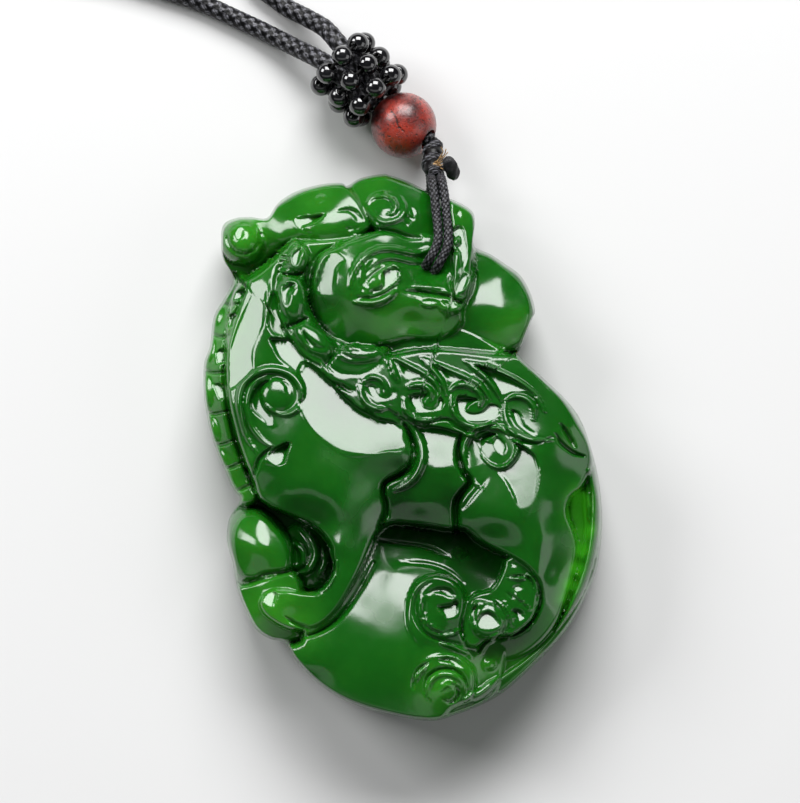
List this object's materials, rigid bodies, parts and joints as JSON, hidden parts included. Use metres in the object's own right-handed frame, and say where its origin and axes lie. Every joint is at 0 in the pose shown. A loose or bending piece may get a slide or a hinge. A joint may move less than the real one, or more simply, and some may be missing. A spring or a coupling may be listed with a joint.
{
  "type": "carved jade pendant",
  "caption": "Carved green jade pendant of a crouching beast on a ball, with a knotted cord through its hole, a turned wooden bead, a cluster of small black beads and a braided neck cord.",
  "frame": {"origin": "middle of the jade's flat back, where the pendant rests", "axes": "+X towards the beast's facing side, +Y towards its crown and the cord, +Z out of the carved front"},
  "size_m": [0.2389, 0.2467, 0.015],
  "materials": {
    "jade": "polished translucent green jade",
    "hanging_cord": "waxed black braid",
    "burnt_cord": "melted and rounded cord end",
    "rosewood": "polished red rosewood",
    "black_stone": "polished black agate",
    "bead_thread": "black thread",
    "neck_cord": "black braided cord"
  },
  "bodies": {
    "root": {"jade_pendant": "jade", "hang_strand_1": "hanging_cord", "hang_strand_2": "hanging_cord", "cord_knot": "hanging_cord", "cord_stub": "burnt_cord", "wooden_bead": "rosewood", "bead_core": "hanging_cord", "black_bead_1": "black_stone", "black_bead_2": "black_stone", "black_bead_3": "black_stone", "black_bead_4": "black_stone", "black_bead_5": "black_stone", "black_bead_6": "black_stone", "black_bead_7": "black_stone", "black_bead_8": "black_stone", "black_bead_9": "black_stone", "black_bead_10": "black_stone", "black_bead_11": "black_stone", "black_bead_12": "black_stone", "black_bead_13": "black_stone", "black_bead_14": "black_stone", "black_bead_15": "black_stone", "black_bead_16": "black_stone", "black_bead_17": "black_stone", "black_bead_18": "black_stone", "black_bead_19": "black_stone", "black_bead_20": "black_stone", "black_bead_21": "black_stone", "black_bead_22": "black_stone", "black_bead_23": "black_stone", "black_bead_24": "black_stone", "ring_thread_1": "bead_thread", "ring_thread_2": "bead_thread", "ring_thread_3": "bead_thread", "neck_cord": "neck_cord"}
  },
  "joints": []
}
